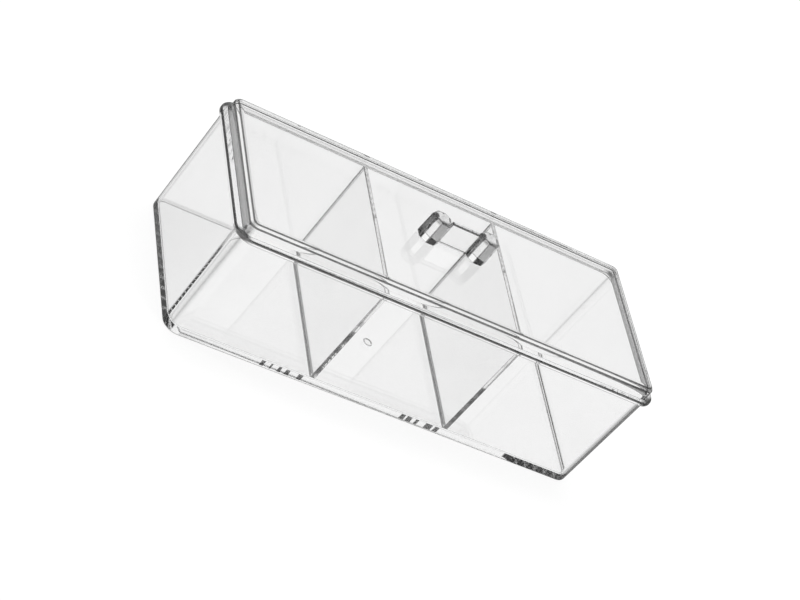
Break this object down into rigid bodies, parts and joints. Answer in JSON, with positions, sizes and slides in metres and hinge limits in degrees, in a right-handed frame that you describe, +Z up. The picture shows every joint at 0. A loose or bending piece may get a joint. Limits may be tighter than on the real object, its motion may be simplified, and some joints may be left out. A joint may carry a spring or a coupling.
{
  "type": "makeup organizer",
  "caption": "Clear plastic organizer box with upright dividers between open compartments, a lift-off lid in a recessed rim and a pinch grip of eight-sided posts and a web.",
  "frame": {"origin": "on the surface that the tray stands on, under the middle of the tray", "axes": "+X along the row of compartments, +Z up, -Y towards the front"},
  "size_m": [0.2456, 0.0984, 0.0887],
  "materials": {
    "tray_clear": "clear, polished, colourless",
    "divider_clear": "clear, polished, colourless",
    "lid_clear": "clear, polished, colourless",
    "grip_clear": "clear, polished, colourless"
  },
  "bodies": {
    "base": {"tray": "tray_clear", "divider_left": "divider_clear", "divider_right": "divider_clear"},
    "lid": {"lid": "lid_clear", "grip_post_left": "grip_clear", "grip_post_right": "grip_clear", "grip_web": "grip_clear"}
  },
  "joints": [
    {"name": "lid_lift", "type": "slide", "parent": "base", "child": "lid", "axis": [0, 0, 1], "range_m": [0, 0.08]}
  ]
}
